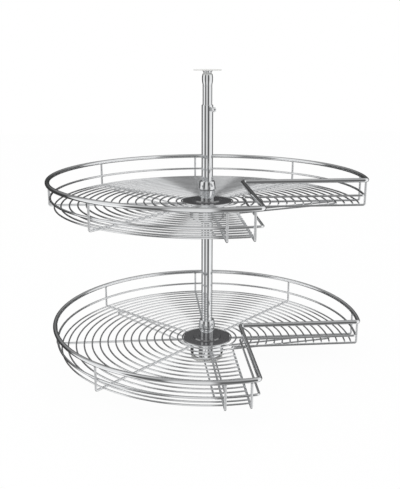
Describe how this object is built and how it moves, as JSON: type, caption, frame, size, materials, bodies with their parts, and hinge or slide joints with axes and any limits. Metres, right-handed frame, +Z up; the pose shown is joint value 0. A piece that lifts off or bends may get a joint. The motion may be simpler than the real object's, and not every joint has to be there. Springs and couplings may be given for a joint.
{
  "type": "corner carousel cabinet fitting",
  "caption": "Two-tier three-quarter wire carousel for a corner kitchen cabinet: chromed trays that turn on a telescopic pole, with a notch for the door.",
  "frame": {"origin": "on the pole's axis, on the underside of the base plate", "axes": "+Z up along the pole; the trays' open quadrant lies between +X and -Y, so its corner faces forwards and to the right"},
  "size_m": [0.821, 0.821, 0.769],
  "materials": {
    "chrome_wire": "bright chromed steel wire",
    "chrome_rim": "bright chromed rim bar",
    "chrome_tube": "mirror chromed tube, cups and turned collars",
    "chrome_screw": "chromed socket screws",
    "dark_plastic": "glossy dark grey moulded plastic",
    "pale_plastic": "pale grey moulded plastic"
  },
  "bodies": {
    "pole": {"base_plate": "pale_plastic", "outer_tube": "chrome_tube"},
    "telescope": {"inner_tube": "chrome_tube", "top_ferrule": "chrome_tube", "top_plate": "pale_plastic"},
    "clamp_screw": {"clamp_screw": "chrome_screw"},
    "lower_hub": {"lower_hub_sleeve": "chrome_tube", "lower_thrust_washer": "pale_plastic"},
    "lower_hub_screw": {"lower_hub_screw": "chrome_screw"},
    "lower_tray": {"lower_floor_frame": "chrome_wire", "lower_floor_ring_01": "chrome_wire", "lower_floor_ring_02": "chrome_wire", "lower_floor_ring_03": "chrome_wire", "lower_floor_ring_04": "chrome_wire", "lower_floor_ring_05": "chrome_wire", "lower_floor_ring_06": "chrome_wire", "lower_floor_ring_07": "chrome_wire", "lower_floor_ring_08": "chrome_wire", "lower_floor_ring_09": "chrome_wire", "lower_floor_ring_10": "chrome_wire", "lower_floor_ring_11": "chrome_wire", "lower_floor_ring_12": "chrome_wire", "lower_floor_ring_13": "chrome_wire", "lower_floor_ring_14": "chrome_wire", "lower_mid_rail": "chrome_wire", "lower_rim": "chrome_rim", "lower_stay_0": "chrome_wire", "lower_stay_135": "chrome_wire", "lower_stay_270": "chrome_wire", "lower_centre_disc": "dark_plastic", "lower_hub_cup": "chrome_tube"},
    "upper_hub": {"upper_hub_sleeve": "chrome_tube", "upper_thrust_washer": "pale_plastic"},
    "upper_hub_screw": {"upper_hub_screw": "chrome_screw"},
    "upper_tray": {"upper_floor_frame": "chrome_wire", "upper_floor_ring_01": "chrome_wire", "upper_floor_ring_02": "chrome_wire", "upper_floor_ring_03": "chrome_wire", "upper_floor_ring_04": "chrome_wire", "upper_floor_ring_05": "chrome_wire", "upper_floor_ring_06": "chrome_wire", "upper_floor_ring_07": "chrome_wire", "upper_floor_ring_08": "chrome_wire", "upper_floor_ring_09": "chrome_wire", "upper_floor_ring_10": "chrome_wire", "upper_floor_ring_11": "chrome_wire", "upper_floor_ring_12": "chrome_wire", "upper_floor_ring_13": "chrome_wire", "upper_floor_ring_14": "chrome_wire", "upper_mid_rail": "chrome_wire", "upper_rim": "chrome_rim", "upper_stay_0": "chrome_wire", "upper_stay_135": "chrome_wire", "upper_stay_270": "chrome_wire", "upper_centre_disc": "dark_plastic", "upper_hub_cup": "chrome_tube"}
  },
  "joints": [
    {"name": "telescope_slide", "type": "slide", "parent": "pole", "child": "telescope", "axis": [0, 0, 1], "range_m": [-0.04, 0.1]},
    {"name": "clamp_screw_turn", "type": "hinge", "parent": "pole", "child": "clamp_screw", "pos_m": [0.01231, -0.01576, 0.672], "axis": [0.6157, -0.788, 0], "range_deg": [0, 360]},
    {"name": "lower_height_slide", "type": "slide", "parent": "pole", "child": "lower_hub", "axis": [0, 0, 1], "range_m": [0, 0.1]},
    {"name": "lower_tray_spin", "type": "hinge", "parent": "lower_hub", "child": "lower_tray", "pos_m": [0, 0, 0.0568], "axis": [0, 0, 1], "continuous": true},
    {"name": "lower_hub_screw_turn", "type": "hinge", "parent": "lower_hub", "child": "lower_hub_screw", "pos_m": [0.00824, -0.01487, 0.0995], "axis": [0.4848, -0.8746, 0], "range_deg": [0, 360]},
    {"name": "upper_height_slide", "type": "slide", "parent": "pole", "child": "upper_hub", "axis": [0, 0, 1], "range_m": [-0.1, 0.15]},
    {"name": "upper_tray_spin", "type": "hinge", "parent": "upper_hub", "child": "upper_tray", "pos_m": [0, 0, 0.4373], "axis": [0, 0, 1], "continuous": true},
    {"name": "upper_hub_screw_turn", "type": "hinge", "parent": "upper_hub", "child": "upper_hub_screw", "pos_m": [0.00824, -0.01487, 0.48], "axis": [0.4848, -0.8746, 0], "range_deg": [0, 360]}
  ]
}
